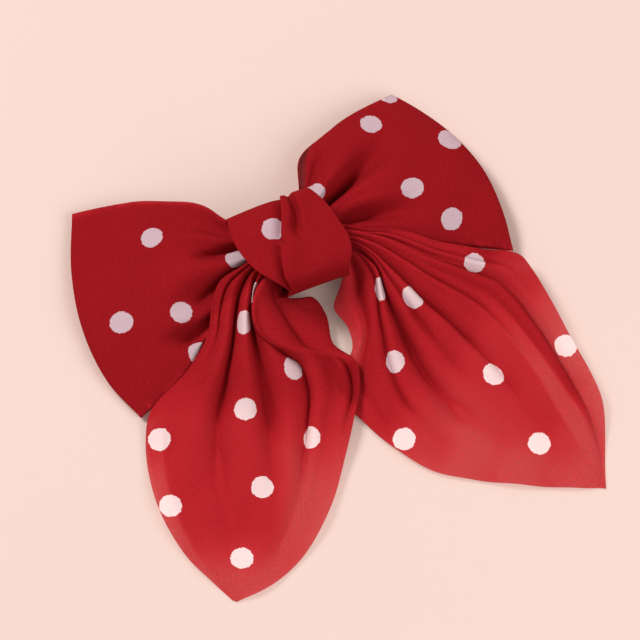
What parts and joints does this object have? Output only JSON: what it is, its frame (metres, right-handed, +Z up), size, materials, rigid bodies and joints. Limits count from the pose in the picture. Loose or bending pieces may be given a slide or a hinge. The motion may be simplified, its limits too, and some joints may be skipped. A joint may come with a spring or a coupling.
{
  "type": "hair bow",
  "caption": "Polka-dot chiffon hair bow with broad loops, long leaf-shaped tails and a wrapped knot, sewn to an automatic spring barrette.",
  "frame": {"origin": "middle of the bow's underside, on the surface it lies on", "axes": "+X from the left loop to the right loop along the barrette, +Y towards the top of the bow with the tails towards -Y, +Z up off the surface, towards the bow's face"},
  "size_m": [0.1802, 0.19, 0.033],
  "materials": {
    "chiffon": "crinkled sheer red chiffon with round off-white dots",
    "thread": "matt red sewing thread",
    "plated_steel": "nickel-plated sheet steel, satin",
    "spring_steel": "nickel-plated spring steel, satin",
    "rivet_steel": "polished steel"
  },
  "bodies": {
    "bow": {"top_plate": "plated_steel", "hinge_pin": "rivet_steel", "catch_base": "spring_steel", "catch_rivet": "rivet_steel", "loop_band": "chiffon", "tail_strip": "chiffon", "knot_band": "chiffon", "gather_thread": "thread", "knot_stitches": "thread", "hinge_end_stitches": "thread", "catch_end_stitches": "thread"},
    "arm": {"lever_arm": "plated_steel"},
    "bar": {"tension_bar": "spring_steel"},
    "leg_front": {"catch_leg_front": "spring_steel"},
    "leg_rear": {"catch_leg_rear": "spring_steel"}
  },
  "joints": [
    {"name": "arm_hinge", "type": "hinge", "parent": "bow", "child": "arm", "pos_m": [-0.0374, 0.041, 0.0035], "axis": [0, 1, 0], "range_deg": [0, 75]},
    {"name": "tension_bar_tilt", "type": "hinge", "parent": "bow", "child": "bar", "pos_m": [-0.0374, 0.041, 0.0035], "axis": [0, 1, 0], "range_deg": [0, 6]},
    {"name": "front_leg_pinch", "type": "hinge", "parent": "bow", "child": "leg_front", "pos_m": [0.0306, 0.0393, 0.0068], "axis": [1, 0, 0], "range_deg": [0, 10], "stiffness_Nm_per_rad": 0.01},
    {"name": "rear_leg_pinch", "type": "hinge", "parent": "bow", "child": "leg_rear", "pos_m": [0.0306, 0.0427, 0.0068], "axis": [-1, 0, 0], "range_deg": [0, 10], "stiffness_Nm_per_rad": 0.01}
  ],
  "couplings": [
    {"joint": "tension_bar_tilt", "follows": "arm_hinge", "ratio": 0.08}
  ]
}
